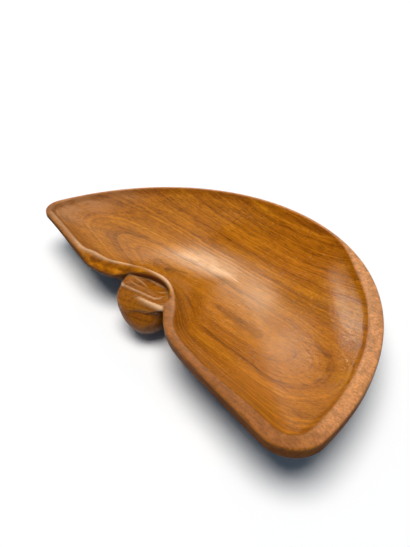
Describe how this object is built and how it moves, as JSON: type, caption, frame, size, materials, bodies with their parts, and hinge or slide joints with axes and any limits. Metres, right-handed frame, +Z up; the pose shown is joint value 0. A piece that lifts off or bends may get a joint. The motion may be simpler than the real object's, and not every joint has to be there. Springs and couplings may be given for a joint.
{
  "type": "semicircular bowl",
  "caption": "Half-round carved wooden dish with a broad flat rim, a notch in its straight side and a carved grip bedded in the notch.",
  "frame": {"origin": "on the floor, under the middle of the bounding box", "axes": "+X along the straight side towards the rounder end, +Y from the straight side towards the crown of the curved side, +Z up"},
  "size_m": [0.5206, 0.2924, 0.066],
  "materials": {
    "dish_wood": "polished",
    "grip_wood": "polished",
    "dowel_wood": "plain"
  },
  "bodies": {
    "root": {"dish": "dish_wood", "grip": "grip_wood", "dowel_left": "dowel_wood", "dowel_right": "dowel_wood"}
  },
  "joints": []
}
